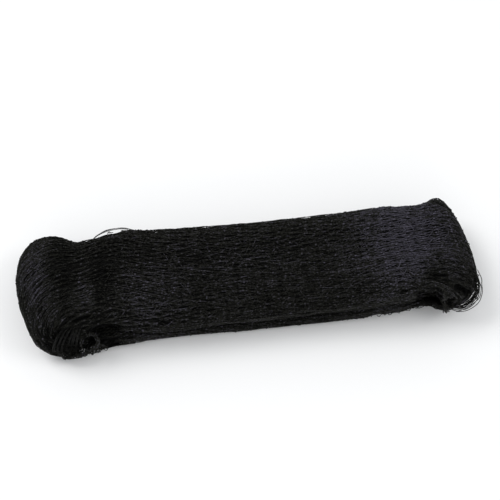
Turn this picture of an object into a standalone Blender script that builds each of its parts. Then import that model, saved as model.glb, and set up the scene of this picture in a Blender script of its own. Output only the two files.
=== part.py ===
"""Bird netting wound into a flat hank, lying on its back.

A fine black garden net is gathered lengthwise into one thick, soft rope of strands.
The rope goes once round a long flat loop: an upper run, a turn at the left end, a
lower run on the ground and a turn at the right end. Each turn leaves a small eye,
open on the near side, and the strands lean towards that side as they go round.

Metres, +X along the hank, +Y across it, +Z up, the ground at Z = 0.
"""

import math
from collections import namedtuple

import bmesh
import bpy
import numpy as np

MM = 0.001

# The hank as a whole, in millimetres, before its ends are slanted and its form smoothed,
# the gap left between the two runs, and how deep the round underside would reach below
# the ground that presses it flat.
LENGTH = 403.0
THICKNESS = 61.0
RUN_GAP = 1.0
FLOOR_PRESS = 4.0

# Where the middle of the footprint falls in the coordinates that the tables below use.
FOOT_X = -3.774
FOOT_Y = 0.707

# How square a section of the rope is: 2 is an ellipse, more is boxier. The side that
# lies against the other run is flatter than the outer side.
OUTER_POWER = 2.4
INNER_POWER = 6.0

# How far the strands lean round the rope between the upper and the lower run, in degrees.
STRAND_LEAN = 62.0

# The two eyes that the turns leave, in millimetres: the middle of each along the hank,
# its half length, its half height, and the reach of its taper into the slit.
Eye = namedtuple("Eye", "middle_x half_length half_height taper")
LEFT_EYE = Eye(-138.0, 5.5, 5.0, 11.5)
RIGHT_EYE = Eye(149.0, 11.0, 6.0, 15.0)

# Both runs at stations along the hank, in millimetres: where each is centred across
# the hank, half its width there, the height of the upper face, the height at which the
# two runs meet, and how far the upper run sags over the lower one on the near side.
Station = namedtuple(
    "Station", "x upper_y upper_half lower_y lower_half top_z split_z near_sag"
)
STATIONS = (
    Station(-138.0, -4.0, 39.5, -3.0, 44.0, 59.5, 25.0, 0.0),
    Station(-120.0, 4.0, 43.5, -2.0, 41.5, 61.0, 26.0, 1.0),
    Station(-74.0, 1.5, 42.5, 0.0, 38.5, 60.0, 28.0, 13.0),
    Station(-26.0, 1.0, 41.0, -0.5, 38.5, 58.5, 29.0, 13.0),
    Station(26.0, 0.5, 40.5, -1.0, 38.5, 58.0, 29.0, 12.0),
    Station(76.0, 0.5, 41.0, -1.5, 39.0, 59.0, 29.0, 8.0),
    Station(122.0, 0.5, 42.0, -2.5, 39.5, 60.5, 28.0, -3.0),
    Station(149.0, -2.0, 41.5, -0.5, 38.0, 59.5, 26.5, -7.0),
)

# The turns, by the part of the half turn done: the middle and half width of the rope.
Bend = namedtuple("Bend", "part middle_y half_width")
LEFT_BENDS = (
    Bend(0.17, 2.0, 45.5),
    Bend(0.34, 2.5, 48.5),
    Bend(0.50, 2.0, 48.5),
    Bend(0.66, -1.5, 48.0),
    Bend(0.83, -3.5, 46.5),
)
RIGHT_BENDS = (
    Bend(0.17, 1.0, 45.0),
    Bend(0.34, 3.0, 48.0),
    Bend(0.50, 0.5, 46.5),
    Bend(0.66, -3.0, 44.5),
    Bend(0.83, -4.5, 43.5),
)

# The ends are slanted. The right end's far edge stops short of its near edge by the
# amount, and the left end's near edge stops a little short of its far edge. The slant
# grows from start_x to full_x, and across the hank's half width with the given power.
Slant = namedtuple("Slant", "amount start_x full_x power")
RIGHT_SLANT = Slant(19.0, 145.0, 200.0, 0.6)
LEFT_SLANT = Slant(8.0, 172.0, 200.0, 1.6)
HALF_WIDTH = 46.0

# How the drop of the two runs' meeting grows from the far edge to the near edge.
SAG_POWER = 2.0

# Main furrows between gathers of strands: the place round the rope on the upper run,
# in degrees from the near edge, the depth in millimetres, the half width in degrees, and
# the stretch of the loop, from 0 at the right eye along the upper run and round to 1.
FURROW_FADE = 0.06
Furrow = namedtuple("Furrow", "place depth spread start end")
FURROWS = (
    Furrow(8.0, 2.6, 8.5, 0.30, 0.52),
    Furrow(33.0, 2.4, 9.0, 0.22, 0.47),
    Furrow(58.0, 1.6, 9.0, 0.34, 0.50),
    Furrow(82.0, 1.0, 10.0, 0.36, 0.62),
    Furrow(108.0, 1.0, 11.0, 0.16, 0.36),
    Furrow(16.0, 2.2, 9.0, 0.88, 1.06),
    Furrow(41.0, 2.2, 9.0, 0.92, 1.08),
    Furrow(66.0, 1.4, 10.0, 0.78, 1.00),
    Furrow(90.0, 0.9, 11.0, 0.94, 1.14),
    Furrow(125.0, 1.2, 11.0, 0.70, 0.96),
    Furrow(150.0, 1.4, 10.0, 0.04, 0.34),
    Furrow(-28.0, 1.4, 10.0, 0.46, 0.84),
)

# The cage that the Subdivision Surface smooths.
CAGE_ROWS = 54
CAGE_SIDES = 22
SUBDIVISIONS = 1

NET_COLOUR = (0.011, 0.011, 0.013, 1.0)
NET_ROUGHNESS = 0.55


def smooth_step(value, start, end):
    """0 before start, 1 after end, and an even S between them."""
    part = np.clip((value - start) / (end - start), 0.0, 1.0)
    return part * part * (3.0 - 2.0 * part)


def eye_opening(x):
    """Half the gap between the runs at x: a slit that swells at the two eyes."""
    opening = RUN_GAP / 2.0
    for eye in (LEFT_EYE, RIGHT_EYE):
        swell = math.exp(-((x - eye.middle_x) / eye.taper) ** 2)
        opening += (eye.half_height - RUN_GAP / 2.0) * swell
    return opening


def run_rib(station, upper):
    """One section of a run: its inner and outer points, its middle and half width."""
    side = 1.0 if upper else -1.0
    inner_z = station.split_z + side * eye_opening(station.x)
    outer_z = station.top_z if upper else -FLOOR_PRESS
    middle_y = station.upper_y if upper else station.lower_y
    half = station.upper_half if upper else station.lower_half
    return (station.x, inner_z, station.x, outer_z, middle_y, half)


def end_outline(eye, way, part):
    """A point of an end seen from the near side: a straight, then a half circle."""
    radius = THICKNESS / 2.0
    tip_x = way * LENGTH / 2.0
    straight = abs(tip_x - eye.middle_x) - radius
    total = 2.0 * straight + math.pi * radius
    gone = part * total
    if gone < straight:
        return eye.middle_x + way * gone, THICKNESS
    if gone > total - straight:
        return eye.middle_x + way * (total - gone), 0.0
    angle = (gone - straight) / radius
    x = tip_x - way * radius + way * radius * math.sin(angle)
    return x, radius + radius * math.cos(angle)


def bend_rib(bend, eye, way, split_z):
    """One section of a turn, fanned out from the eye to the end's outline."""
    angle = math.pi * bend.part
    inner_x = eye.middle_x + way * eye.half_length * math.sin(angle)
    inner_z = split_z + eye.half_height * math.cos(angle)
    outer_x, outer_z = end_outline(eye, way, bend.part)
    return (inner_x, inner_z, outer_x, outer_z, bend.middle_y, bend.half_width)


def loop_ribs():
    """All sections in order: upper run leftwards, left turn, lower run, right turn."""
    upper = [run_rib(station, True) for station in reversed(STATIONS)]
    lower = [run_rib(station, False) for station in STATIONS]
    left_z = STATIONS[0].split_z
    right_z = STATIONS[-1].split_z
    left = [bend_rib(bend, LEFT_EYE, -1.0, left_z) for bend in LEFT_BENDS]
    right = [bend_rib(bend, RIGHT_EYE, 1.0, right_z) for bend in reversed(RIGHT_BENDS)]
    return np.array(upper + left + lower + right)


def through_ribs(ribs, count):
    """Rows spread evenly round the loop, on a smooth closed curve through the ribs."""
    middles = 0.5 * (ribs[:, 0:2] + ribs[:, 2:4])
    steps = np.linalg.norm(np.roll(middles, -1, axis=0) - middles, axis=1)
    knots = np.concatenate([[0.0], np.cumsum(steps)])
    total = knots[-1]
    after = np.roll(ribs, -1, axis=0)
    before = np.roll(ribs, 1, axis=0)
    span = steps + np.roll(steps, 1)
    slopes = (after - before) / span[:, None]
    places = np.arange(count) / count * total
    row = np.searchsorted(knots, places, side="right") - 1
    width = steps[row][:, None]
    t = (places - knots[row])[:, None] / width
    next_row = (row + 1) % len(ribs)
    start = ribs[row] * (1.0 + 2.0 * t) * (1.0 - t) ** 2
    end = ribs[next_row] * t * t * (3.0 - 2.0 * t)
    leave = slopes[row] * width * t * (1.0 - t) ** 2
    arrive = slopes[next_row] * width * t * t * (t - 1.0)
    return start + leave + end + arrive, places / total


def furrow_depth(place, way):
    """How deep the furrows are at a strand's place, at a part of the way round."""
    depth = np.zeros(np.broadcast(place, way).shape)
    for furrow in FURROWS:
        off = (place - furrow.place + 180.0) % 360.0 - 180.0
        trough = np.exp(-((off / furrow.spread) ** 2))
        for turn in (-1.0, 0.0, 1.0):
            past_start = way + turn - furrow.start
            past_end = way + turn - furrow.end
            opened = smooth_step(past_start, -FURROW_FADE, FURROW_FADE)
            closed = smooth_step(past_end, -FURROW_FADE, FURROW_FADE)
            depth = depth + furrow.depth * trough * opened * (1.0 - closed)
    return depth


def signed_power(value, power):
    """The value's size raised to a power, with its sign kept."""
    return np.sign(value) * np.abs(value) ** power


def hank_surface(rows, way, sides):
    """Points of the rope's skin, a row for each section and a column for each strand.

    A section is a rounded box between its inner and outer points, and the furrows draw
    its skin in. The strand at a place on the upper run slips towards the near edge on
    the lower run, and back again. The near side sags, the ends are slanted and the
    underside is pressed flat.
    """
    inner_x, inner_z, outer_x, outer_z, middle_y, half_width = rows.T[:, :, None]
    reach_x = 0.5 * (outer_x - inner_x)
    reach_z = 0.5 * (outer_z - inner_z)
    reach = np.hypot(reach_x, reach_z)
    lowness = smooth_step(-reach_z / reach, -1.0, 1.0)
    place = np.arange(sides)[None, :] / sides * 360.0
    angle = np.radians(place - STRAND_LEAN * lowness)
    power = 2.0 / np.where(np.sin(angle) > 0.0, OUTER_POWER, INNER_POWER)
    depth = furrow_depth(place, way[:, None])
    outward = signed_power(np.sin(angle), power) * (reach - depth) / reach
    x = inner_x + reach_x * (1.0 + outward)
    y = middle_y - (half_width - depth) * signed_power(np.cos(angle), power)
    z = inner_z + reach_z * (1.0 + outward)
    far = np.clip(0.5 + 0.5 * y / HALF_WIDTH, 0.0, 1.0)
    station_x, station_sag = zip(*[(station.x, station.near_sag) for station in STATIONS])
    sag = np.interp(x, station_x, station_sag) * (1.0 - far) ** SAG_POWER
    z = z - sag * np.sin(np.pi * np.clip(z / THICKNESS, 0.0, 1.0))
    for slant, way_x, side in ((RIGHT_SLANT, 1.0, far), (LEFT_SLANT, -1.0, 1.0 - far)):
        pull = slant.amount * smooth_step(way_x * x, slant.start_x, slant.full_x)
        x = x - way_x * pull * side ** slant.power
    return np.stack([x - FOOT_X, y - FOOT_Y, np.maximum(z, 0.0)], axis=2) * MM


def net_material():
    """Dull black polyethylene twine."""
    material = bpy.data.materials.new("black_twine")
    material.use_nodes = True
    shader = material.node_tree.nodes["Principled BSDF"]
    shader.inputs["Base Color"].default_value = NET_COLOUR
    shader.inputs["Roughness"].default_value = NET_ROUGHNESS
    shader.inputs["Metallic"].default_value = 0.0
    return material


def build_hank(collection):
    """The cage of the hank, a ring of sections, with its Subdivision Surface."""
    rows, way = through_ribs(loop_ribs(), CAGE_ROWS)
    points = hank_surface(rows, way, CAGE_SIDES)
    cage = bmesh.new()
    rings = [[cage.verts.new(point) for point in row] for row in points]
    for row in range(CAGE_ROWS):
        here = rings[row]
        there = rings[(row + 1) % CAGE_ROWS]
        for side in range(CAGE_SIDES):
            beside = (side + 1) % CAGE_SIDES
            cage.faces.new((here[side], here[beside], there[beside], there[side]))
    bmesh.ops.recalc_face_normals(cage, faces=cage.faces)
    mesh = bpy.data.meshes.new("net_hank")
    cage.to_mesh(mesh)
    cage.free()
    mesh.shade_smooth()
    mesh.materials.append(net_material())
    hank = bpy.data.objects.new("net_hank", mesh)
    collection.objects.link(hank)
    smooth = hank.modifiers.new("soft_form", "SUBSURF")
    smooth.levels = SUBDIVISIONS
    smooth.render_levels = SUBDIVISIONS
    return hank


def main():
    """Clear the scene and build the netting in a collection of its own."""
    for item in list(bpy.data.objects):
        bpy.data.objects.remove(item, do_unlink=True)
    collection = bpy.data.collections.new("bird_netting")
    bpy.context.scene.collection.children.link(collection)
    build_hank(collection)


main()
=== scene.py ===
# %% [markdown]
# # A garden bird net, wound into a flat hank
#
# The real thing is one big black net, a few metres each way, knitted from plastic
# twine less than a millimetre thick. It is gathered lengthwise until its square
# cells pull shut, and the thick rope of twine that this makes goes once round a
# long flat loop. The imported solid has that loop's form. This lesson gives it its
# twine: a dark mass inside, three skins of pulled-shut cells over it, the knots,
# the strands that cross the rest, and those that have worked loose.

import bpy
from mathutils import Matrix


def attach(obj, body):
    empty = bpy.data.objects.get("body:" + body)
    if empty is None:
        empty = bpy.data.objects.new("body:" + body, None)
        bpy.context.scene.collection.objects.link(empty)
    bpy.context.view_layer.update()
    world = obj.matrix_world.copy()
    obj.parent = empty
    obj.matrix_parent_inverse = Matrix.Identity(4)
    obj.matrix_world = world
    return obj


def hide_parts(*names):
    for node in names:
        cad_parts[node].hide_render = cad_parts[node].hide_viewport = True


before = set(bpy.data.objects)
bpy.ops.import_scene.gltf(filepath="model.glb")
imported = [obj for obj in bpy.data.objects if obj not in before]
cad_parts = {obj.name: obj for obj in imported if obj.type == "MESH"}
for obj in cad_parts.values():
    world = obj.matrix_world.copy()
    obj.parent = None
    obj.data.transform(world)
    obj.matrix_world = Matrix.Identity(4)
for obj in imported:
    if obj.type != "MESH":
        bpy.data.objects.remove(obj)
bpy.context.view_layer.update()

import math
from collections import namedtuple

import bpy
import numpy as np

MM = 0.001
print("solids:", sorted(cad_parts))

# %% Small helpers
def table(columns, *rows):
    """Rows of values as named tuples that share their columns."""
    row_of = namedtuple("Row", columns)
    return [row_of(*row) for row in rows]


def add_object(name, data):
    """A new object in the scene, round a mesh, a lens or a light."""
    made = bpy.data.objects.new(name, data)
    bpy.context.scene.collection.objects.link(made)
    return made


def set_inputs(node, values):
    """Sets a shader node's inputs by their names."""
    for name, value in values.items():
        node.inputs[name].default_value = value


# %% [markdown]
# ## The camera
#
# A long lens from high in front shows a hank without stretching it. A turn about
# the line of sight makes it climb a little to the right. The hank's place belongs to
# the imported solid, so it is the camera that turns.

# %% Camera
VIEW_ELEVATION = 65.0
VIEW_ROLL = -6.0
VIEW_DISTANCE = 0.99
VIEW_TARGET = (0.0, 0.0, 0.03)
VIEW_SHIFT = (0.0112, 0.0503)
VIEW_CLIP = (0.05, 20.0)
LENS = 85.0


def add_camera():
    """A camera on a line that rises by the elevation from the target towards -Y."""
    rise = math.radians(VIEW_ELEVATION)
    back = np.array([0.0, -math.cos(rise), math.sin(rise)])
    lens = bpy.data.cameras.new("studio_camera")
    lens.lens = LENS
    lens.shift_x, lens.shift_y = VIEW_SHIFT
    lens.clip_start, lens.clip_end = VIEW_CLIP
    camera = add_object("studio_camera", lens)
    camera.location = np.array(VIEW_TARGET) + back * VIEW_DISTANCE
    camera.rotation_euler = (math.radians(90.0 - VIEW_ELEVATION), 0.0, 0.0)
    camera.rotation_euler.rotate_axis("Z", math.radians(VIEW_ROLL))
    bpy.context.scene.camera = camera
    return camera


camera = add_camera()
print("camera at", [round(value, 3) for value in camera.location])

# %% [markdown]
# ## The studio
#
# Black twine shows by what it mirrors. One broad soft box high on the left, a weaker
# one on the right and a faint one in front draw thin lights along the strands, and
# an even pale sky keeps the floor near white.

# %% Floor, sky and lamps
FLOOR_SIZE = 9.0
FLOOR_PAINT = {
    "Base Color": (0.86, 0.86, 0.86, 1.0),
    "Roughness": 0.9,
    "Specular IOR Level": 0.2,
}
SKY_LIGHT = {"Color": (0.97, 0.985, 1.0, 1.0), "Strength": 0.75}
LAMPS = (
    ("soft_box_left", (-0.9, 0.5, 1.7), 0.9, 16.0),
    ("soft_box_right", (1.2, -0.3, 1.5), 0.8, 7.0),
    ("soft_box_front", (0.1, -1.7, 0.9), 0.7, 3.0),
)


def add_lamp(name, place, size, power):
    """A square soft box at a place, turned to the hank, with its side in metres."""
    light = bpy.data.lights.new(name, "AREA")
    light.shape = "SQUARE"
    light.size = size
    light.energy = power
    lamp = add_object(name, light)
    lamp.location = place
    away = lamp.location.normalized()
    lamp.rotation_euler = away.to_track_quat("Z", "Y").to_euler()
    return lamp


def add_floor():
    """A flat square at height 0 with a pale, dull finish."""
    half = FLOOR_SIZE / 2.0
    corners = [(-half, -half, 0.0), (half, -half, 0.0), (half, half, 0.0), (-half, half, 0.0)]
    mesh = bpy.data.meshes.new("studio_floor")
    mesh.from_pydata(corners, [], [(0, 1, 2, 3)])
    floor = add_object("studio_floor", mesh)
    paint = bpy.data.materials.new("floor_paint")
    paint.use_nodes = True
    set_inputs(paint.node_tree.nodes["Principled BSDF"], FLOOR_PAINT)
    mesh.materials.append(paint)
    return floor


def add_sky():
    """The same soft light from every side."""
    world = bpy.data.worlds.new("studio_sky")
    world.use_nodes = True
    set_inputs(world.node_tree.nodes["Background"], SKY_LIGHT)
    bpy.context.scene.world = world


floor = add_floor()
add_sky()
lamps = [add_lamp(*lamp) for lamp in LAMPS]
bpy.context.scene.view_settings.view_transform = "Standard"
print("stage:", floor.name, [lamp.name for lamp in lamps])

# %% [markdown]
# ## The form of the hank
#
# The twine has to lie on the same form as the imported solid, a ring of 54 sections
# with 22 points each, smoothed by subdivision. Such a ring is the same surface as a
# bicubic B-spline over its points, which can be worked out at any place. So the
# sections are made again here, from the same named sizes, and every strand below
# asks the B-spline where the skin is.

# %% Sizes of the hank, in millimetres
LENGTH = 403.0
THICKNESS = 61.0
RUN_GAP = 1.0
FLOOR_PRESS = 4.0
FOOT_X = -3.774
FOOT_Y = 0.707
OUTER_POWER = 2.4
INNER_POWER = 6.0
STRAND_LEAN = 62.0
HALF_WIDTH = 46.0
FURROW_FADE = 0.06
CAGE_ROWS = 54
CAGE_SIDES = 22

LEFT_EYE, RIGHT_EYE = table(
    "way middle_x middle_z half_length half_height taper",
    (-1, -138, 25, 5.5, 5, 11.5),
    (1, 149, 26.5, 11, 6, 15),
)
STATIONS = table(
    "x upper_y upper_half lower_y lower_half top_z split_z near_sag",
    (-138, -4, 39.5, -3, 44, 59.5, 25, 0),
    (-120, 4, 43.5, -2, 41.5, 61, 26, 1),
    (-74, 1.5, 42.5, 0, 38.5, 60, 28, 13),
    (-26, 1, 41, -0.5, 38.5, 58.5, 29, 13),
    (26, 0.5, 40.5, -1, 38.5, 58, 29, 12),
    (76, 0.5, 41, -1.5, 39, 59, 29, 8),
    (122, 0.5, 42, -2.5, 39.5, 60.5, 28, -3),
    (149, -2, 41.5, -0.5, 38, 59.5, 26.5, -7),
)
BENDS = table(
    "part middle_y half_width",
    (0.17, 2, 45.5),
    (0.34, 2.5, 48.5),
    (0.5, 2, 48.5),
    (0.66, -1.5, 48),
    (0.83, -3.5, 46.5),
    (0.17, 1, 45),
    (0.34, 3, 48),
    (0.5, 0.5, 46.5),
    (0.66, -3, 44.5),
    (0.83, -4.5, 43.5),
)
LEFT_BENDS, RIGHT_BENDS = BENDS[:5], BENDS[5:]
RIGHT_SLANT, LEFT_SLANT = table(
    "amount start_x full_x power",
    (19, 145, 200, 0.6),
    (8, 172, 200, 1.6),
)
SAG_POWER = 2.0
FURROWS = table(
    "place depth spread start end",
    (8, 2.6, 8.5, 0.3, 0.52),
    (33, 2.4, 9, 0.22, 0.47),
    (58, 1.6, 9, 0.34, 0.5),
    (82, 1, 10, 0.36, 0.62),
    (108, 1, 11, 0.16, 0.36),
    (16, 2.2, 9, 0.88, 1.06),
    (41, 2.2, 9, 0.92, 1.08),
    (66, 1.4, 10, 0.78, 1),
    (90, 0.9, 11, 0.94, 1.14),
    (125, 1.2, 11, 0.7, 0.96),
    (150, 1.4, 10, 0.04, 0.34),
    (-28, 1.4, 10, 0.46, 0.84),
)
print("stations:", len(STATIONS), "bends:", len(BENDS), "furrows:", len(FURROWS))


# %% Sections of the loop
def smooth_step(value, start, end):
    """0 before start, 1 after end, and an even S between them."""
    part = np.clip((value - start) / (end - start), 0.0, 1.0)
    return part * part * (3.0 - 2.0 * part)


def eye_opening(x):
    """Half the gap between the runs at x: a slit that swells at the two eyes."""
    opening = RUN_GAP / 2.0
    for eye in (LEFT_EYE, RIGHT_EYE):
        swell = math.exp(-((x - eye.middle_x) / eye.taper) ** 2)
        opening += (eye.half_height - RUN_GAP / 2.0) * swell
    return opening


def run_rib(station, upper):
    """One section of a run: its inner and outer points, its middle and half width."""
    x, z, opening = station.x, station.split_z, eye_opening(station.x)
    if upper:
        return x, z + opening, x, station.top_z, station.upper_y, station.upper_half
    return x, z - opening, x, -FLOOR_PRESS, station.lower_y, station.lower_half


def end_outline(eye, part):
    """A point of an end seen from the near side: a straight, then a half circle."""
    radius = THICKNESS / 2.0
    way, tip_x = eye.way, eye.way * LENGTH / 2.0
    straight = abs(tip_x - eye.middle_x) - radius
    total = 2.0 * straight + math.pi * radius
    gone = part * total
    if gone < straight:
        return eye.middle_x + way * gone, THICKNESS
    if gone > total - straight:
        return eye.middle_x + way * (total - gone), 0.0
    angle = (gone - straight) / radius
    x = tip_x - way * radius + way * radius * math.sin(angle)
    return x, radius + radius * math.cos(angle)


def bend_rib(bend, eye):
    """One section of a turn, fanned out from the eye to the end's outline."""
    angle = math.pi * bend.part
    inner_x = eye.middle_x + eye.way * eye.half_length * math.sin(angle)
    inner_z = eye.middle_z + eye.half_height * math.cos(angle)
    return (inner_x, inner_z, *end_outline(eye, bend.part), bend.middle_y, bend.half_width)


def loop_ribs():
    """All sections in order: upper run leftwards, left turn, lower run, right turn."""
    upper = [run_rib(station, True) for station in reversed(STATIONS)]
    lower = [run_rib(station, False) for station in STATIONS]
    left = [bend_rib(bend, LEFT_EYE) for bend in LEFT_BENDS]
    right = [bend_rib(bend, RIGHT_EYE) for bend in reversed(RIGHT_BENDS)]
    return np.array(upper + left + lower + right)


def through_ribs(ribs, count):
    """Rows spread evenly round the loop, on a smooth closed curve through the ribs."""
    middles = 0.5 * (ribs[:, 0:2] + ribs[:, 2:4])
    steps = np.linalg.norm(np.roll(middles, -1, axis=0) - middles, axis=1)
    knots = np.concatenate([[0.0], np.cumsum(steps)])
    total = knots[-1]
    span = (steps + np.roll(steps, 1))[:, None]
    slopes = (np.roll(ribs, -1, axis=0) - np.roll(ribs, 1, axis=0)) / span
    places = np.arange(count) / count * total
    row = np.searchsorted(knots, places, side="right") - 1
    width = steps[row][:, None]
    t = (places - knots[row])[:, None] / width
    next_row = (row + 1) % len(ribs)
    start = ribs[row] * (1.0 + 2.0 * t) * (1.0 - t) ** 2
    end = ribs[next_row] * t * t * (3.0 - 2.0 * t)
    leave = slopes[row] * width * t * (1.0 - t) ** 2
    arrive = slopes[next_row] * width * t * t * (t - 1.0)
    return start + leave + end + arrive, places / total


def furrow_depth(place, way):
    """How deep the furrows are at a strand's place, at a part of the way round."""
    depth = np.zeros(np.broadcast(place, way).shape)
    for furrow in FURROWS:
        off = (place - furrow.place + 180.0) % 360.0 - 180.0
        trough = np.exp(-((off / furrow.spread) ** 2))
        for turn in (-1.0, 0.0, 1.0):
            opened = smooth_step(way + turn - furrow.start, -FURROW_FADE, FURROW_FADE)
            closed = smooth_step(way + turn - furrow.end, -FURROW_FADE, FURROW_FADE)
            depth = depth + furrow.depth * trough * opened * (1.0 - closed)
    return depth


def signed_power(value, power):
    """The value's size raised to a power, with its sign kept."""
    return np.sign(value) * np.abs(value) ** power


def hank_cage(rows, way, sides):
    """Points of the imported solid's cage, in millimetres.

    A section is a rounded box between its inner and outer points, drawn in by the
    furrows. The near side sags, the ends are slanted and the underside is pressed flat.
    """
    inner_x, inner_z, outer_x, outer_z, middle_y, half_width = rows.T[:, :, None]
    reach_x = 0.5 * (outer_x - inner_x)
    reach_z = 0.5 * (outer_z - inner_z)
    reach = np.hypot(reach_x, reach_z)
    lowness = smooth_step(-reach_z / reach, -1.0, 1.0)
    place = np.arange(sides)[None, :] / sides * 360.0
    angle = np.radians(place - STRAND_LEAN * lowness)
    power = 2.0 / np.where(np.sin(angle) > 0.0, OUTER_POWER, INNER_POWER)
    depth = furrow_depth(place, way[:, None])
    outward = signed_power(np.sin(angle), power) * (reach - depth) / reach
    x = inner_x + reach_x * (1.0 + outward)
    y = middle_y - (half_width - depth) * signed_power(np.cos(angle), power)
    z = inner_z + reach_z * (1.0 + outward)
    far = np.clip(0.5 + 0.5 * y / HALF_WIDTH, 0.0, 1.0)
    station_x, station_sag = zip(*[(station.x, station.near_sag) for station in STATIONS])
    sag = np.interp(x, station_x, station_sag) * (1.0 - far) ** SAG_POWER
    z = z - sag * np.sin(np.pi * np.clip(z / THICKNESS, 0.0, 1.0))
    for slant, way_x, side in ((RIGHT_SLANT, 1.0, far), (LEFT_SLANT, -1.0, 1.0 - far)):
        pull = slant.amount * smooth_step(way_x * x, slant.start_x, slant.full_x)
        x = x - way_x * pull * side ** slant.power
    return np.stack([x - FOOT_X, y - FOOT_Y, np.maximum(z, 0.0)], axis=2)


cage = hank_cage(*through_ribs(loop_ribs(), CAGE_ROWS), CAGE_SIDES)
print("cage:", cage.shape)


# %% [markdown]
# ## Asking where the skin is
#
# A place on the hank has two numbers. *Way* runs from 0 to 1 along the strands,
# once round the loop, and *share* runs from 0 to 1 round the rope's section,
# measured by real distance. The same B-spline over a grid of random numbers gives a
# smooth, closed wander, which bunches the strands and lifts some over others.

# %% B-spline over a closed grid
def spline_weights(part):
    """The four weights of a uniform cubic B-spline at a part of a step, and their slopes."""
    rest = 1.0 - part
    middle = 3.0 * part**3 - 6.0 * part**2 + 4.0
    mirror = 3.0 * rest**3 - 6.0 * rest**2 + 4.0
    weights = np.stack([rest**3, middle, mirror, part**3]) / 6.0
    rise = 3.0 * part**2 - 4.0 * part
    fall = 3.0 * rest**2 - 4.0 * rest
    return weights, np.stack([-(rest**2), rise, -fall, part**2]) / 2.0


def spread_over(grid, row, column):
    """A closed grid's B-spline at rows and columns: values and both slopes.

    The value is the sum of the 16 grid values round a place, each by the weight of its
    row times the weight of its column. A slope uses the weights' slopes instead.
    """
    first_row = np.floor(row).astype(int)
    first_column = np.floor(column).astype(int)
    row_weights, row_slopes = spline_weights(row - first_row)
    column_weights, column_slopes = spline_weights(column - first_column)
    steps = np.arange(-1, 3).reshape((4,) + (1,) * first_row.ndim)
    rows = (first_row + steps) % grid.shape[0]
    columns = (first_column + steps) % grid.shape[1]
    around = grid[rows[:, None], columns[None, :]]
    rule = "a...,b...,ab...k->...k"
    value = np.einsum(rule, row_weights, column_weights, around)
    along = np.einsum(rule, row_slopes, column_weights, around)
    across = np.einsum(rule, row_weights, column_slopes, around)
    return value, along, across


FINE_ROWS = 216
FINE_COLUMNS = 220
SHARES = 256
WANDER_REACH = 1.7
TINY = 1e-9


def share_table():
    """The cage column of each share, row by row: distance round a section, undone."""
    row = np.arange(FINE_ROWS) / FINE_ROWS * CAGE_ROWS
    column = np.arange(FINE_COLUMNS + 1) / FINE_COLUMNS * CAGE_SIDES
    row, column = np.meshgrid(row, column, indexing="ij")
    points = spread_over(cage, row, column)[0]
    steps = np.linalg.norm(np.diff(points, axis=1), axis=2)
    gone = np.concatenate([np.zeros((FINE_ROWS, 1)), np.cumsum(steps, axis=1)], axis=1)
    shares = np.arange(SHARES) / SHARES
    table = [np.interp(shares, line / line[-1], column[0]) for line in gone]
    offset = shares * CAGE_SIDES
    return (np.array(table) - offset)[..., None], gone[:, -1]


column_offset, girths = share_table()
print("girth in mm:", round(float(girths.min())), "to", round(float(girths.max())))


def unit(arrows):
    """Arrows made 1 long: each divided by its length."""
    return arrows / np.maximum(np.linalg.norm(arrows, axis=-1, keepdims=True), TINY)


def skin(way, share, height=0.0):
    """Points at a height over the form, in millimetres, and the outward directions."""
    way, share = np.broadcast_arrays(np.asarray(way, float), np.asarray(share, float))
    offset = spread_over(column_offset, way % 1.0 * FINE_ROWS, share % 1.0 * SHARES)[0]
    column = share % 1.0 * CAGE_SIDES + offset[..., 0]
    points, along, across = spread_over(cage, way % 1.0 * CAGE_ROWS, column)
    outward = unit(np.cross(across, along))
    return points + outward * np.asarray(height)[..., None], outward


def wander(way, share, cells, seed):
    """A smooth closed random field, about -1 to 1, with its cells (along, across)."""
    rng = np.random.default_rng(seed)
    grid = rng.uniform(-WANDER_REACH, WANDER_REACH, cells + (1,))
    return spread_over(grid, way % 1.0 * cells[0], share % 1.0 * cells[1])[0][..., 0]


def with_wanders(value, way, share, kinds, seed):
    """A value plus wanders: each kind's height times a field with its cells."""
    for number, (cells, height) in enumerate(kinds):
        value = value + height * wander(way, share, cells, seed + number)
    return value


probe = skin(np.array([0.19, 0.62]), 0.2)
print("upper and lower run:", [values.round(2).tolist() for values in probe])


# %% [markdown]
# ## Relief of the gathers
#
# The twine of a gathered net lies in soft bunches a few millimetres wide that run
# along the hank for a hand's breadth and then change. Where the runs turn, the
# bunches part and leave creases, dark in their own shadow and with painted shade
# on the twine in them. The relief is one function of way and share, so that the
# dark mass and every skin of twine over it rise and fall together.

# %% Relief and creases
LOOP_LENGTH = 800.0
GIRTH = float(girths.mean())
BUNCHES = (((40, 48), 0.28), ((90, 90), 0.17), ((11, 20), 0.34))
BUNCH_SEED = 40

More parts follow.
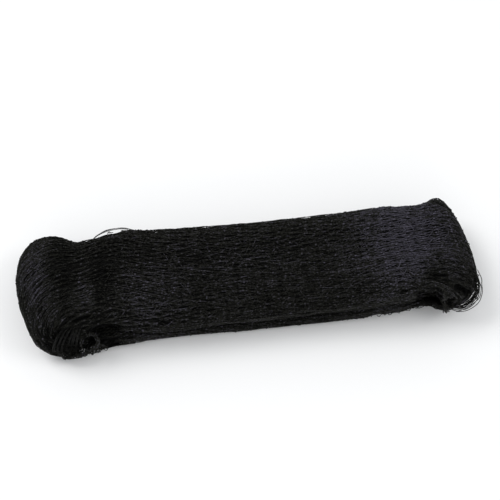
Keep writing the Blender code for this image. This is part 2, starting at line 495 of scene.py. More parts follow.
# A crease runs through its stops (way, share); its half width and depth are in
# millimetres. A short wide one is a hollow, and a shallow wide one a dent.
CREASES = table(
    "stops width depth",
    # the left end
    (((0.37, -0.033), (0.36, -0.037)), 9.5, 11),
    (((0.364, 0.458), (0.353, 0.45), (0.348, 0.452)), 8.5, 2.8),
    (((0.436, 0.235), (0.437, 0.16)), 12, 2),
    (((0.36, 0.004), (0.338, -0.01), (0.308, 0), (0.29, 0.035)), 2, 4),
    (((0.354, -0.041), (0.3381, -0.054), (0.3206, -0.023)), 1.8, 4.5),
    (((0.3294, 0.035), (0.3131, 0.037), (0.2994, 0.031)), 1.4, 3.5),
    (((0.502, 0.015), (0.505, 0.024)), 4.6, 8),
    (((0.515, 0.042), (0.526, 0.052), (0.534, 0.086)), 3.6, 7.5),
    (((0.415, 0.106), (0.4256, 0.09), (0.438, 0.098)), 1.3, 3),
    (((0.415, 0.084), (0.4238, 0.069), (0.4419, 0.077), (0.4545, 0.087)), 1.7, 3.6),
    (((0.3944, 0.061), (0.4025, 0.035)), 1.5, 4),
    (((0.405, 0.053), (0.415, 0.044), (0.4319, 0.052)), 1.3, 3.5),
    (((0.4044, 0.033), (0.4219, 0.021), (0.4437, 0.048)), 1.4, 4),
    (((0.393, 0.064), (0.385, 0.068), (0.3769, 0.068)), 1.3, 3.5),
    (((0.488, 0.055), (0.499, 0.068), (0.508, 0.076)), 6.5, 6.5),
    (((0.486, 0.1), (0.499, 0.115), (0.508, 0.12)), 7, 5.5),
    (((0.4263, 0.172), (0.43, 0.107), (0.4412, 0.093), (0.455, 0.091)), 9, 1.5),
    (((0.401, 0.1), (0.393, 0.085)), 1.4, 2.6),
    # the right end
    (((0.013, -0.028), (-0.004, -0.026)), 7.5, 8),
    (((0.885, 0.038), (0.902, 0.018)), 4, 7.5),
    (((0.9788, 0.038), (0.9663, 0.033), (0.9506, 0.052)), 3, 4.6),
    (((0.918, 0.1), (0.932, 0.105), (0.948, 0.11)), 9, 5),
    (((0.0044, 0.086), (-0.0094, 0.079)), 1.3, 3.2),
    (((0.0031, 0.056), (-0.0075, 0.042)), 1.3, 3.6),
    (((0.0387, 0.026), (0.03, 0.03)), 1.3, 3),
    (((0.873, 0.135), (0.888, 0.13)), 8, 4.8),
    (((0.83, 0.135), (0.862, 0.135)), 9, 1.8),
    (((0.005, 0.115), (-0.03, 0.1)), 1, 1.8),
    (((-0.025, 0.09), (-0.045, 0.08)), 1.2, 2.2),
    (((0.9831, -0.002), (0.9356, -0.005), (0.9187, 0.033), (0.9113, 0.072)), 1.3, 3),
    (((0.978, 0.456), (0.971, 0.454), (0.969, 0.436)), 7.5, 3.9),
)


def trough(way, share, crease, start, end):
    """Depth over one stretch: depth * e^-(off / width)^3, with the ends rounded off."""
    along = ((way - start[0] + 0.5) % 1.0 - 0.5) * LOOP_LENGTH
    across = ((share - start[1] + 0.5) % 1.0 - 0.5) * GIRTH
    run = (end[0] - start[0]) * LOOP_LENGTH
    rise = (end[1] - start[1]) * GIRTH
    done = np.clip((along * run + across * rise) / (run**2 + rise**2), 0.0, 1.0)
    off = np.hypot(along - done * run, across - done * rise)
    return crease.depth * np.exp(-((off / crease.width) ** 3))


def crease_depth(way, share):
    """Depth of the creases in millimetres: the deepest of their stretches."""
    depth = np.zeros(np.broadcast(way, share).shape)
    for crease in CREASES:
        for start, end in zip(crease.stops, crease.stops[1:]):
            depth = np.maximum(depth, trough(way, share, crease, start, end))
    return depth


def relief(way, share):
    """Height of the bunches less the creases, in millimetres: three wanders in all."""
    return with_wanders(-crease_depth(way, share), way, share, BUNCHES, BUNCH_SEED)


# At the left turn the strands slip towards the near edge, by a part of the girth, and
# they slip back along the lower run, each between a start and an end on the way. Three
# wanders, with their cells and their heights in shares, make them stray.
TURN_SLIP = 0.115
SLIP_OUT = (0.388, 0.452)
SLIP_BACK = (0.52, 0.88)
DRIFTS = (((9, 15), 0.006), ((56, 50), 0.0036), ((110, 56), 0.002))
DRIFT_SEED = 61


def drift(way, share):
    """How far a strand strays round the section, in shares: its slip and three wanders."""
    around = way % 1.0
    slip = TURN_SLIP * (smooth_step(around, *SLIP_BACK) - smooth_step(around, *SLIP_OUT))
    return with_wanders(slip, way, share, DRIFTS, DRIFT_SEED)


sample = relief(*np.meshgrid(np.linspace(0, 1, 200), np.linspace(0, 1, 200)))
print("relief in mm:", sample.min().round(2), "to", sample.max().round(2))


# %% [markdown]
# ## Meshes from arrays
#
# All shapes here are grids of points. A closed ring of rings becomes the dark
# mass, and a tube is a small ring carried along a path. One helper turns points
# and faces into a mesh.

# %% Mesh helpers
def mesh_of(name, points, faces, material, tone=None):
    """An object from points in millimetres and faces with the same number of corners.

    The tone is a number for each point, which the finish reads as an attribute.
    """
    count, corners = faces.shape
    mesh = bpy.data.meshes.new(name)
    mesh.vertices.add(len(points))
    mesh.vertices.foreach_set("co", (points * MM).astype(np.float32).ravel())
    mesh.loops.add(count * corners)
    mesh.loops.foreach_set("vertex_index", faces.astype(np.int32).ravel())
    mesh.polygons.add(count)
    mesh.polygons.foreach_set("loop_start", np.arange(count, dtype=np.int32) * corners)
    mesh.polygons.foreach_set("use_smooth", np.ones(count, dtype=bool))
    mesh.update(calc_edges=True)
    if tone is not None:
        layer = mesh.attributes.new("tone", "FLOAT", "POINT")
        layer.data.foreach_set("value", tone.astype(np.float32).ravel())
    mesh.materials.append(material)
    print(f"{name}: {len(points)} points, {count * (corners - 2)} triangles")
    return add_object(name, mesh)


STRAND_SIDES = 3
LOOSE_SIDES = 5


def tubes(paths, up, radius, sides=STRAND_SIDES):
    """Closed tubes along many paths at once: points and triangles.

    A ring point is the path's point plus the radius times (cosine of its angle along
    the sideways direction, sine along up). Sideways is the cross of the path's own
    direction and up. The ends are shut by fans.
    """
    runs, length = paths.shape[:2]
    ahead = unit(np.gradient(paths, axis=1))
    sideways = unit(np.cross(ahead, up))
    upright = np.cross(sideways, ahead)
    angle = (np.arange(sides) / sides * 2.0 * np.pi + np.pi / 2.0)[:, None]
    ring = np.cos(angle) * sideways[:, :, None] + np.sin(angle) * upright[:, :, None]
    points = paths[:, :, None] + ring * radius
    index = np.arange(runs * length * sides).reshape(runs, length, sides)
    here, there = index[:, :-1], index[:, 1:]
    here_next, there_next = np.roll(here, -1, axis=2), np.roll(there, -1, axis=2)
    fan = np.arange(1, sides - 1)
    start, end = index[:, 0], index[:, -1]
    kinds = (
        (here, there, here_next),
        (there, there_next, here_next),
        (start[:, :1] + 0 * fan, start[:, fan], start[:, fan + 1]),
        (end[:, :1] + 0 * fan, end[:, fan + 1], end[:, fan]),
    )
    faces = np.concatenate([np.stack(corners, axis=-1).reshape(-1, 3) for corners in kinds])
    return points.reshape(-1, 3), faces


rod = np.linspace((0.0, 0.0, 0.0), (10.0, 0.0, 0.0), 5)[None]
points, faces = tubes(rod, (0.0, 0.0, 1.0), 1.0, 6)
a, b, c = np.moveaxis(points[faces], 1, 0)
volume = (a * np.cross(b, c)).sum() / 6.0
print("test rod's volume:", volume.round(2))


# %% [markdown]
# ## Finishes
#
# The twine is black polyethylene, dull, with a soft sheen. The tone of each strand
# carries painted light and shade and painted glints as well as random changes, and
# with a fine random speckle it takes the colour from near black over a warm dark grey
# to a paler and colder one, and the roughness goes with it. The maths is written as
# Python expressions on shader sockets.

# %% Shader maths
class Wire:
    """A shader socket that takes part in Python arithmetic."""

    def __init__(self, tree, socket):
        self.tree = tree
        self.socket = socket

    def node(self, kind, settings=None, output=0, **sockets):
        """Adds a node: its settings, its sockets' values or links, and its output's wire."""
        made = self.tree.nodes.new(kind)
        for name, value in (settings or {}).items():
            setattr(made, name, value)
        self.fill(made, **sockets)
        return Wire(self.tree, made.outputs[output])

    def fill(self, made, **sockets):
        """Gives a node's sockets their values or links, with _ for a space in a name."""
        for name, value in sockets.items():
            self.plug(made.inputs[name.replace("_", " ")], value)

    def plug(self, target, value):
        """Links a wire to a socket, or sets the socket to a value."""
        if isinstance(value, Wire):
            self.tree.links.new(value.socket, target)
        else:
            target.default_value = value

    def maths(self, operation, other):
        made = self.tree.nodes.new("ShaderNodeMath")
        made.operation = operation
        self.plug(made.inputs[0], self)
        self.plug(made.inputs[1], other)
        return Wire(self.tree, made.outputs[0])

    def __add__(self, other):
        return self.maths("ADD", other)

    def __mul__(self, other):
        return self.maths("MULTIPLY", other)

    def __sub__(self, other):
        return self.maths("SUBTRACT", other)

    def __rsub__(self, other):
        return self * -1.0 + other

    __radd__ = __add__
    __rmul__ = __mul__


def start_finish(name):
    """A new material: its wire to build with, and its shader."""
    material = bpy.data.materials.new(name)
    material.use_nodes = True
    tree = material.node_tree
    shader = tree.nodes["Principled BSDF"]
    place = tree.nodes.new("ShaderNodeTexCoord")
    return material, shader, Wire(tree, place.outputs["Object"])


def mix_colours(wire, share, first, second):
    """A colour between two, by a share from 0 to 1."""
    mix = wire.tree.nodes.new("ShaderNodeMix")
    mix.data_type = "RGBA"
    for number, value in ((0, share), (6, first), (7, second)):
        wire.plug(mix.inputs[number], value)
    return Wire(wire.tree, mix.outputs[2])


def speckle(wire, scale, detail=2.0):
    """Noise from 0 to 1 on the place in metres, at a scale in cells a metre."""
    return wire.node("ShaderNodeTexNoise", Vector=wire, Scale=scale, Detail=detail)


SPECKLE_SCALE = 700.0
SMOOTHER_WHEN_PALE = 0.1


def twine_finish(name, colours, rough, sheen):
    """Dull twine from dark over middle to pale, by the piece's own tone and a speckle."""
    material, shader, place = start_finish(name)
    own = place.node("ShaderNodeAttribute", {"attribute_name": "tone"}, "Fac")
    grain = speckle(place, SPECKLE_SCALE) * 2.0 - 1.0
    blend = own + grain
    dark, middle, pale = (colour + (1.0,) for colour in colours)
    lower = mix_colours(place, blend * 2.0, dark, middle)
    colour = mix_colours(place, blend * 2.0 - 1.0, lower, pale)
    rough = rough - blend * SMOOTHER_WHEN_PALE
    place.fill(shader, Base_Color=colour, Roughness=rough, Specular_IOR_Level=sheen)
    return material


# The under finish is a darker copy of the same twine: painted shade for the inner skin, which
# lies under the other two.
SHADED_UNDER_COLOURS = ((0.0008, 0.0008, 0.0006), (0.012, 0.012, 0.01), (0.04, 0.038, 0.045))
TOP_COLOURS = ((0.0008, 0.0008, 0.0006), (0.019, 0.0192, 0.0156), (0.069, 0.065, 0.085))
twine_shaded_under = twine_finish("black_twine_shaded_under", SHADED_UNDER_COLOURS, 0.6, 0.05)
twine_top = twine_finish("black_twine_top", TOP_COLOURS, 0.52, 0.07)
print("finishes:", twine_shaded_under.name, twine_top.name)

# %% [markdown]
# ## The dark mass
#
# Between the strands one looks into more strands, packed and dark. A closed surface
# just below the skin, with the relief of the bunches and a fine grain along the
# strands, gives the same darkness with far fewer faces.

# %% Dark mass
MASS_ROWS = 324
MASS_COLUMNS = 180
MASS_DEPTH = 2.2
MASS_FLOOR = 0.8
MASS_COLOURS = ((0.0012, 0.0012, 0.0011, 1.0), (0.009, 0.009, 0.009, 1.0))
GRAIN_SCALE = (26.0, 150.0, 1.0)
GRAIN_DETAIL = 3.0
GRAIN_ROUGHNESS = 0.2
SMOOTHEST_GRAIN = 0.5
GRAIN_SHEEN = 0.06
GRAIN_BUMP = {"Distance": 0.0012, "Strength": 0.9}


def mass_grid():
    """A ring of rings under the skin: depth and relief along the outward direction."""
    way, share = np.arange(MASS_ROWS) / MASS_ROWS, np.arange(MASS_COLUMNS) / MASS_COLUMNS
    way, share = np.meshgrid(way, share, indexing="ij")
    points = skin(way, share, relief(way, share) - MASS_DEPTH)[0]
    points[..., 2] = np.maximum(points[..., 2], MASS_FLOOR)
    return points


def ring_faces(rows, columns):
    """Four-cornered faces between neighbours, closed both ways, facing outwards."""
    index = np.arange(rows * columns).reshape(rows, columns)
    beside = np.roll(index, -1, axis=1)
    after = np.roll(index, -1, axis=0)
    across = np.roll(after, -1, axis=1)
    return np.stack([index, beside, across, after], axis=-1).reshape(-1, 4)


def grain_finish(name, dark, pale):
    """Packed strands: fine stripes along the loop from the piece's own map."""
    material, shader, place = start_finish(name)
    own = place.node("ShaderNodeUVMap", {"uv_map": "strand_map"})
    stretched = place.node("ShaderNodeMapping", Vector=own, Scale=GRAIN_SCALE)
    stripes = speckle(stretched, 1.0, GRAIN_DETAIL)
    colour = mix_colours(place, stripes, dark, pale)
    rough = stripes * GRAIN_ROUGHNESS + SMOOTHEST_GRAIN
    bump = place.node("ShaderNodeBump", Height=stripes, **GRAIN_BUMP)
    place.fill(shader, Base_Color=colour, Roughness=rough, Normal=bump)
    place.fill(shader, Specular_IOR_Level=GRAIN_SHEEN)
    return material


def add_map(piece, rows, columns):
    """The strand map: way across and share up, so that stripes follow the loop."""
    count = rows * columns
    way = np.repeat(np.arange(rows), columns)[:, None] + np.array([0, 0, 1, 1])
    share = np.tile(np.arange(columns), rows)[:, None] + np.array([0, 1, 1, 0])
    spots = np.stack([way / rows, share / columns], axis=-1).reshape(count * 4, 2)
    layer = piece.data.uv_layers.new(name="strand_map")
    layer.data.foreach_set("uv", spots.astype(np.float32).ravel())


mass_dark = grain_finish("packed_twine", *MASS_COLOURS)
mass_points = mass_grid().reshape(-1, 3)
mass = mesh_of("packed_mass", mass_points, ring_faces(MASS_ROWS, MASS_COLUMNS), mass_dark)
add_map(mass, MASS_ROWS, MASS_COLUMNS)
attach(mass, "root")
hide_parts("net_hank")

# %% [markdown]
# ## Skins of pulled-shut cells
#
# Pull a square-celled net lengthwise and each cell becomes a thin slot as long as
# two of its sides. Neighbouring strands meet at a knot, part, and meet the
# neighbour on the other side half a cell later. So each strand is a zigzag, turned
# the other way from its neighbours. Three such nets lie over each other and dip
# under each other in patches, and their slots show the dark below.

# %% Strand layers
CELLS = 32
LOOP_STEPS = 240
CHUNK = 20
GRIP = 0.43
SHARPNESS = 0.94
CELL_STRAY = ((5, 9), 0.4)
DIPS = ((48, 40), 0.33)
WEAVE_CELLS = (220, 80)


def cell_wave(turns):
    """A zigzag with rounded tips, from -1 to 1, once for each whole turn."""
    return np.arcsin(SHARPNESS * np.sin(2.0 * np.pi * turns)) / math.asin(SHARPNESS)


def strand_count(layer):
    """An even number of strands round the girth, so that the last meets the first."""
    return int(round(GIRTH / layer.pitch / 2.0)) * 2


def cell_turn(layer, way, share):
    """Which part of its cell a place is in: whole turns along the loop, and a wander."""
    return with_wanders(way * CELLS + layer.phase, way, share, (CELL_STRAY,), layer.seed)


def net_height(layer, way, share):
    """Height of a net over the skin: its own, the relief, and its dips under the next."""
    kinds = (DIPS, (WEAVE_CELLS, layer.weave))
    return with_wanders(layer.height + relief(way, share), way, share, kinds, layer.seed + 1)


def gathered_net(layer):
    """Way, share and height of each point of each strand, closed round the loop."""
    strands = strand_count(layer)
    way, strand = np.meshgrid(np.arange(LOOP_STEPS) / LOOP_STEPS, np.arange(strands))
    side = np.where(strand % 2 == 0, 1.0, -1.0)
    zigzag = GRIP * side * cell_wave(cell_turn(layer, way, strand / strands))
    share = (strand + zigzag) / strands
    share = share + drift(way, share)
    return way, share, net_height(layer, way, share)


# How pale the twine looks by place: a base tone, and patches of painted light and
# shade that add to it, paler where the hank faces the light and darker where it turns
# from it. A patch has its middle (x, y) and its reach both ways, in millimetres.
# Twine down in a crease is painted darker: painted shade for the light that does
# not reach it.
BASE_TONE = 0.17
PAINTED_SHADE_DEPTHS = (1.0, 5.5)
LIGHT_AND_SHADE_PATCHES = table(
    "x y reach_x reach_y tone",
    (-168, 0, 20, 46, 0.5),
    (-152, 9, 11, 28, -0.37),
    (-131, -13, 8, 16, 0.38),
    (-117, 0, 10, 26, -0.25),
    (-82, -13, 26, 22, 0.24),
    (0, 0, 100, 60, 0.22),
    (140, 6, 46, 62, 0.73),
    (157, -15, 8, 9, -0.17),
    (152, -31, 10, 9, -0.4),
    (134, -38, 16, 5, -0.16),
    (155, -40, 26, 6, -0.06),
    (182, 0, 14, 50, -0.06),
    (-92, -34, 44, 13, 0.1),
    (150, -46, 14, 6, -0.3),
    (-118, -46, 9, 6, -0.3),
    (-90, -46, 26, 10, 0.18),
    (-151, -45, 13, 6, -0.4),
    (-117, -43, 10, 4, -0.4),
    (-108, 42, 14, 8, 0.16),
)

# Along a strand painted glints change the tone at random: pale and dark stretches
# that stand in for light caught by the twisting twine. What lies in the slit between
# the runs, a box by its middle and its half sizes, is left out.
STRAND_GLINT = 0.3
GLINT_OWN = 0.7
GLINT_BESIDE = 0.15
SLIT_MIDDLE = (-2.0, 0.0, 28.0)
SLIT_HALF = (118.0, 30.0, 9.0)


def tone_at(points, way, share):
    """How pale the twine is: the sum of the patches' soft round hills of painted light and
    shade, less the painted shade in the creases.
    """
    x, y = points[..., 0], points[..., 1]
    tone = np.full(x.shape, BASE_TONE)
    for patch in LIGHT_AND_SHADE_PATCHES:
        off = ((x - patch.x) / patch.reach_x) ** 2 + ((y - patch.y) / patch.reach_y) ** 2
        tone = tone + patch.tone * np.exp(-off)
    return tone - smooth_step(crease_depth(way, share), *PAINTED_SHADE_DEPTHS)


def glints(shape, seed):
    """Painted glints: pale and dark stretches along each strand, random numbers evened along
    it.
    """
    wild = np.random.default_rng(seed).uniform(-1.0, 1.0, shape)
    beside = np.roll(wild, 1, axis=1) + np.roll(wild, -1, axis=1)
    return GLINT_OWN * wild + GLINT_BESIDE * beside


def hidden(points):
    """True where a place is deep in the slit between the two runs."""
    return (np.abs(points - SLIT_MIDDLE) < SLIT_HALF).all(axis=-1)


def in_chunks(values):
    """Closed lines cut into chunks that share their end points, one chunk a row."""
    first = np.arange(0, LOOP_STEPS, CHUNK)[:, None]
    index = (first + np.arange(CHUNK + 1)) % LOOP_STEPS
    return values[:, index].reshape((-1, CHUNK + 1) + values.shape[2:])


def finish_piece(piece):
    """Every strand piece belongs to the one body."""
    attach(piece, "root")
    return piece


def strand_piece(name, paths, up, radius, tone, finish, sides=STRAND_SIDES):
    """Strands as one piece of tubes, none below the floor, in their own tones."""
    paths[..., 2] = np.maximum(paths[..., 2], radius)
    points, faces = tubes(paths, up, radius, sides)
    tone = np.repeat(tone.ravel(), sides)
    return finish_piece(mesh_of(name, points, faces, finish, tone))


def strand_layer(layer):
    """One net as tubes, without the chunks that nobody can see."""
    way, share, height = gathered_net(layer)
    paths, outward = skin(way, share, height)
    tone = tone_at(paths, way, share) + STRAND_GLINT * glints(way.shape, layer.seed + 3)
    paths, outward, tone = in_chunks(paths), in_chunks(outward), in_chunks(tone)
    seen = ~hidden(paths).all(axis=1)
    chosen = paths[seen], outward[seen], layer.radius, tone[seen]
    return strand_piece(layer.name, *chosen, layer.finish)


LAYERS = table(
    "name pitch radius height weave phase seed finish",
    ("net_inner", 2.2, 0.42, -1.15, 0.4, 0.1, 100, twine_shaded_under),
    ("net_middle", 2.15, 0.38, -0.5, 0.42, 0.37, 200, twine_top),
    ("net_outer", 2.15, 0.35, 0.08, 0.4, 0.71, 300, twine_top),
)
for layer in LAYERS:
    strand_layer(layer)

# %% [markdown]
# ## Knots
#
# Where two strands of the net meet they are joined by a small hard knot, a little
# longer than wide. At the size of the hank it is a speck, so twenty faces are enough
# for one. Knots sit where the zigzags of neighbours touch, and the same functions
# say where that is.

# %% Knots
KNOT_HALF = (1.05, 0.72, 0.65)
KNOT_LIFT = 0.1
KNOT_FLOOR = 1.5
KNOT_TONES = (-0.1, 0.4)
TIPS = (0.25, 0.75)
TIP_ROUNDS = 3
NUDGE = 0.002


def ball_of_twenty():
    """The corners and faces of a regular solid with twenty faces, of radius 1."""
    long = (1.0 + math.sqrt(5.0)) / 2.0
    four = [(one, far, 0.0) for far in (long, -long) for one in (-1.0, 1.0)]
    corners = np.concatenate([np.roll(four, turn, axis=1) for turn in range(3)])
    faces = [(0, 11, 5), (0, 5, 1), (0, 1, 7), (0, 7, 10), (0, 10, 11),
             (1, 5, 9), (5, 11, 4), (11, 10, 2), (10, 7, 6), (7, 1, 8),
             (3, 9, 4), (3, 4, 2), (3, 2, 6), (3, 6, 8), (3, 8, 9),
             (4, 9, 5), (2, 4, 11), (6, 2, 10), (8, 6, 7), (9, 8, 1)]
    return corners / math.hypot(1.0, long), np.array(faces)


def knots_of(layer, name):
    """A knot at each meeting of two strands: the ball, stretched along the strand."""
    strands = strand_count(layer)
    pairs = np.meshgrid(np.arange(strands), np.arange(CELLS))
    strand, cell = (axis.ravel() for axis in pairs)
    place = strand / strands
    wanted = cell + np.where(strand % 2 == 0, *TIPS)
    way = wanted / CELLS
    for _ in range(TIP_ROUNDS):
        way = way + (wanted - cell_turn(layer, way, place)) / CELLS
    share = (strand + 0.5) / strands
    share = share + drift(way, share)
    height = net_height(layer, way, share) + KNOT_LIFT
    centre, outward = skin(way, share, height)
    ahead = unit(skin(way + NUDGE, share, height)[0] - centre)
    sideways = np.cross(outward, ahead)
    seen = ~hidden(centre) & (centre[:, 2] > KNOT_FLOOR)
    corners, faces = ball_of_twenty()
    axes = np.stack([ahead, sideways, outward], axis=1)[seen] * np.array(KNOT_HALF)[:, None]
    points = (centre[seen][:, None] + corners @ axes).reshape(-1, 3)
    rows = np.arange(seen.sum())[:, None, None] * len(corners) + faces
    own = np.random.default_rng(layer.seed + 4).uniform(*KNOT_TONES, way.shape)
    tone = np.repeat((tone_at(centre, way, share) + own)[seen], len(corners))
    return finish_piece(mesh_of(name, points, rows.reshape(-1, 3), layer.finish, tone))


for layer, name in zip(LAYERS[1:], ("knots_middle", "knots_outer")):
    knots_of(layer, name)

# %% [markdown]
# ## Strays
#
# Some strands cross the rest at a small angle, where a fold of the net was pulled
# along with its neighbours, and here and there a short side of a cell shows. They
# rise out of the mass, run a little way over it and dive back in.

# %% Strays
STRAY_SLIP = ((90, 50), 0.0012)
STRAY_LIFT = ((60, 60), 0.35)
STRAY_TONE = 0.05
DIVE_START = 0.8
DIVE_DEPTH = 2.0
SHALLOW = 1.2


def stray_strands(kind):
    """Short strands at random places, each with its own slip round the section."""
    rng = np.random.default_rng(kind.seed)
    steps = int(kind.reach / kind.step) + 1
    part = np.linspace(0.0, 1.0, steps)[None, :]
    way = rng.uniform(0.0, 1.0, (kind.count, 1)) + part * (kind.reach / LOOP_LENGTH)
    share = rng.uniform(0.0, 1.0, (kind.count, 1))
    share = share + kind.slip * rng.normal(0.0, 1.0, (kind.count, 1)) * (part - 0.5)
    share = with_wanders(share + drift(way, share), way, share, (STRAY_SLIP,), kind.seed + 1)
    height = kind.height + relief(way, share)
    height = with_wanders(height, way, share, (STRAY_LIFT,), kind.seed + 2)
    dive = smooth_step(np.abs(part - 0.5) * 2.0, DIVE_START, 1.0) * DIVE_DEPTH
    paths, outward = skin(way, share, height - dive)
    in_crease = crease_depth(way, share).max(axis=1) > SHALLOW
    seen = ~hidden(paths).all(axis=1) & ~in_crease
    tone = tone_at(paths, way, share) + STRAY_TONE
    tone = tone + kind.glint * glints(way.shape, kind.seed + 3)
    chosen = paths[seen], outward[seen], kind.radius, tone[seen]
    return strand_piece(kind.name, *chosen, kind.finish)


STRAY_KINDS = table(
    "name count reach step radius height slip glint seed finish",
    ("strays", 500, 95.0, 5.0, 0.32, 0.45, 0.03, 0.45, 500, twine_top),
    ("cross_strands", 8000, 8.0, 4.0, 0.31, 0.5, 0.026, 0.3, 510, twine_top),
    ("mesh_ties", 2600, 3.6, 1.1, 0.28, 0.4, 0.018, 0.25, 520, twine_top),
)
for kind in STRAY_KINDS:
    stray_strands(kind)

# %% [markdown]
# ## Loose strands
#
# Here and there the winding lets strands go. A bundle stands upright across the
# hollow at the right, with arcs beside it. A fan of strands and a tuft lie over the
# left end, where a small coil of the innermost turn looks out, and short loops fray
# out along the edges and at the ends. A smooth curve runs through a strand's stops
# (way, share, height over the skin), each with a small error of its own.

# %% Loose strands
LOOSE = table(
    "name count spread error radius tone seed stops",
    ("right_bundle", 13, 1.1, 0.25, 0.4, 0.28, 610, (
        (0.993, 0.033, -1.2), (0.9915, 0.018, 0.6), (0.988, -0.002, 1.5),
        (0.9838, -0.021, 1.7), (0.924, -0.003, 3.4), (0.9175, 0.02, 2.1),
        (0.9106, 0.046, 1.2), (0.9055, 0.091, 0.9), (0.9035, 0.125, 0),
    )),
    ("right_frayed_arcs", 15, 2.3, 0.7, 0.32, 0.26, 620, (
        (0.912, 0.075, -3), (0.921, 0.068, -0.4), (0.9294, 0.072, 0.1),
        (0.935, 0.085, -0.1), (0.94, 0.104, -0.3), (0.945, 0.117, -0.5),
        (0.9487, 0.127, -1.1), (0.954, 0.138, -2.6),
    )),
    ("right_pale_arcs", 5, 1.9, 0.25, 0.34, 0.46, 625, (
        (0.01, 0.048, -2), (0.0063, 0.052, 0.2), (0.9969, 0.041, 0.8),
        (0.985, 0.021, 1), (0.9675, 0.007, 0.8), (0.95, 0.02, 0.2),
        (0.9413, 0.042, -2),
    )),
    ("left_tuft_strands", 9, 1.5, 1.2, 0.36, 0.32, 645, (
        (0.4581, 0.077, -1.5), (0.4656, 0.074, 0.6), (0.4781, 0.081, 1.4),
        (0.4869, 0.062, 1.8), (0.4981, 0.056, 1.2), (0.5069, 0.048, 1.6),
        (0.5144, 0.055, 1), (0.5194, 0.086, -0.8),
    )),
    ("top_left_arc", 3, 0.5, 0.3, 0.28, 0.4, 630, (
        (0.374, 0.425, -2), (0.364, 0.435, 0.3), (0.352, 0.45, 1.3),
        (0.336, 0.457, 1.5), (0.324, 0.46, -0.5),
    )),
)
BUNDLE_STEPS = 8
HEIGHT_CALM = 1.5
LOOSE_GLINT = 0.3
ANY_WAY = (0.31, 0.17, 0.93)


def through(stops, steps):
    """Smooth paths through rows of stops: cubics from stop b to c, between a and d.

    p = (2b + (c - a) t + (2a - 5b + 4c - d) t^2 + (3b - a - 3c + d) t^3) / 2, so the
    slope at a stop is half the way between its neighbours.
    """
    first = 2.0 * stops[:, :1] - stops[:, 1:2]
    last = 2.0 * stops[:, -1:] - stops[:, -2:-1]
    stops = np.concatenate([first, stops, last], axis=1)
    place = np.linspace(0.0, stops.shape[1] - 3.0, steps)
    index = np.minimum(place.astype(int), stops.shape[1] - 4)
    t = (place - index)[None, :, None]
    a, b, c, d = (stops[:, index + offset] for offset in range(4))
    square, cube = 2 * a - 5 * b + 4 * c - d, 3 * b - a - 3 * c + d
    return (2 * b + (c - a) * t + square * t**2 + cube * t**3) / 2


def twine_piece(name, paths, radius, tone, seed):
    """Free strands as one piece: round tubes with five sides."""
    up = unit(np.cross(np.gradient(paths, axis=1), ANY_WAY))
    tone = tone + LOOSE_GLINT * glints(paths.shape[:2], seed)
    return strand_piece(name, paths, up, radius, tone, twine_top, LOOSE_SIDES)


def loose_bundle(kind):
    """One bundle: each strand keeps its own offset and has new errors at each stop."""
    rng = np.random.default_rng(kind.seed)
    apart = rng.normal(0.0, kind.spread, (kind.count, 1, 3))
    error = rng.normal(0.0, kind.error, (kind.count, len(kind.stops), 3))
    sizes = np.array([LOOP_LENGTH, GIRTH, HEIGHT_CALM])
    stops = np.array(kind.stops) + (apart + error) / sizes
    places = skin(*np.moveaxis(stops, -1, 0))[0]
    paths = through(places, BUNDLE_STEPS * len(kind.stops))
    return twine_piece(kind.name, paths, kind.radius, kind.tone, kind.seed + 1)


# A sweep is a sheet of strands side by side between two borders. A border is a row
# of places (way, share), and the heights over the skin are one for each stop. The
# strands lie in bunches, which fill a part of their room. The error is how far a
# strand strays at each stop, in millimetres.
FAN_FIRST = ((0.3944, 0.065), (0.4019, 0.061), (0.4144, 0.048),
             (0.4356, 0.055), (0.4531, 0.083), (0.46, 0.095))
FAN_SECOND = ((0.385, 0.056), (0.3881, 0.023), (0.4025, -0.033),
              (0.4644, 0.006), (0.4756, 0.039), (0.48, 0.06))
FAN_HEIGHTS = (-0.8, 0.5, 1.0, 0.9, 0.2, -2.0)
COVER_HEIGHTS = (-1.5, 0.2, 0.7, 0.7, 0.7, 0.7, 0.7, 0.2, -1.5)
COVER_FIRST = np.linspace((0.02, -0.012), (0.327, -0.012), len(COVER_HEIGHTS))
COVER_SECOND = np.linspace((0.8694, 0.03), (0.5627, 0.03), len(COVER_HEIGHTS))
SWEEPS = table(
    "name first second heights count bunches fill error radius tone seed",
    ("left_fan", FAN_FIRST, FAN_SECOND, FAN_HEIGHTS,
     36, 6, 0.46, 0.32, 0.34, -0.08, 700),
    ("near_edge_cover", COVER_FIRST, COVER_SECOND, COVER_HEIGHTS,
     20, 20, 1.0, 0.8, 0.38, 0.36, 710),
)
SWEEP_STEPS = 7


def sweep_of_strands(kind):
    """Strands with their stops between the borders' points, bunch by bunch."""
    rng = np.random.default_rng(kind.seed)
    borders = (np.array(border).T for border in (kind.first, kind.second))
    first, second = (skin(*border, np.array(kind.heights))[0] for border in borders)
    bunch = np.arange(kind.count) * kind.bunches // kind.count
    part = (bunch + 0.5 + kind.fill * rng.uniform(-0.5, 0.5, kind.count)) / kind.bunches
    stops = first + part[:, None, None] * (second - first)
    stops = stops + rng.normal(0.0, kind.error, stops.shape)
    paths = through(stops, SWEEP_STEPS * len(kind.heights))
    return twine_piece(kind.name, paths, kind.radius, kind.tone, kind.seed + 1)


COIL_MIDDLE = np.array([-132.6, -45.0, 27.5])
COIL_AXES = np.array([[1.0, 0.0, 0.05], [0.0, 0.88, 0.47]])
COIL_RADIUS = 7.0
COIL_SPREAD = (-0.9, 0.7)
COIL_START = (0.2, 1.4)
COIL_SWEEP = (3.0, 4.4)
COIL_ERROR = 0.5
COIL_STEPS = 30
COIL_TWINE = 0.38
COIL_TONE = 0.42


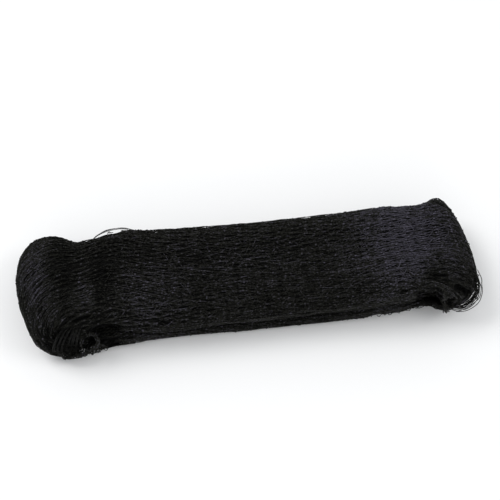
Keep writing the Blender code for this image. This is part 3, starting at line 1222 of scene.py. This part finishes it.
def end_coil(name, count, seed):
    """The innermost turn: circles of about the same radius, each open for a stretch."""
    rng = np.random.default_rng(seed)
    radius = COIL_RADIUS + rng.uniform(*COIL_SPREAD, (count, 1))
    start = rng.uniform(*COIL_START, (count, 1)) - 0.5 * math.pi
    part = np.linspace(0.0, 1.0, COIL_STEPS)[None, :]
    angle = start + part * rng.uniform(*COIL_SWEEP, (count, 1))
    wobble = rng.normal(0.0, COIL_ERROR, (count, COIL_STEPS, 3))
    wobble = (wobble + np.roll(wobble, 1, axis=1) + np.roll(wobble, -1, axis=1)) / 3.0
    ring = np.cos(angle)[..., None] * COIL_AXES[0] + np.sin(angle)[..., None] * COIL_AXES[1]
    shift = rng.normal(0.0, COIL_ERROR, (count, 1, 3))
    paths = COIL_MIDDLE + ring * radius[..., None] + shift + wobble
    return twine_piece(name, paths, COIL_TWINE, COIL_TONE, seed + 1)


# A fringe is a field of short loops: the ranges of way and share that they stand
# in, how far they stand out in millimetres, and how many there are.
FRINGES = table(
    "name way share reach count seed",
    ("left_fringe", (0.474, 0.516), (0.045, 0.115), 4.1, 110, 640),
    ("right_fringe", (0.925, 0.968), (0.075, 0.145), 3.0, 30, 650),
    ("edge_fringe_near", (0.535, 0.9), (0.09, 0.15), 0.9, 70, 660),
    ("edge_fringe_far", (0.0, 0.48), (0.4, 0.47), 0.9, 50, 670),
    ("end_fringe_right", (0.93, 1.0), (0.2, 0.45), 1.5, 60, 680),
)
FRAY_RUN = (4.0, 3.0)
FRAY_REACH = (0.3, 1.0)
FRAY_ROOT = 0.4
FRAY_ERROR = 0.2
FRAY_RELIEF = 0.3
FRAY_STOPS = 5
FRAY_STEPS = 17
FRAY_TWINE = 0.33
FRAY_TONE = 0.2


def frayed_loops(kind):
    """Short loops from the skin and back: height = reach * sin(pi t), with errors."""
    rng = np.random.default_rng(kind.seed)
    part = np.linspace(0.0, 1.0, FRAY_STOPS)[None, :]
    sides = zip((kind.way, kind.share), FRAY_RUN, (LOOP_LENGTH, GIRTH))
    way, share = (
        rng.uniform(*limits, (kind.count, 1))
        + rng.normal(0.0, run, (kind.count, 1)) / length * part
        for limits, run, length in sides
    )
    reach = kind.reach * rng.uniform(*FRAY_REACH, (kind.count, 1))
    error = rng.normal(0.0, FRAY_ERROR, (kind.count, FRAY_STOPS))
    height = reach * np.sin(math.pi * part) - FRAY_ROOT + error
    places = skin(way, share, height + relief(way, share) * FRAY_RELIEF)[0]
    paths = through(places, FRAY_STEPS)
    return twine_piece(kind.name, paths, FRAY_TWINE, FRAY_TONE, kind.seed + 1)


for kind in LOOSE:
    loose_bundle(kind)
for kind in SWEEPS:
    sweep_of_strands(kind)
end_coil("left_end_coil", 15, 600)
for kind in FRINGES:
    frayed_loops(kind)
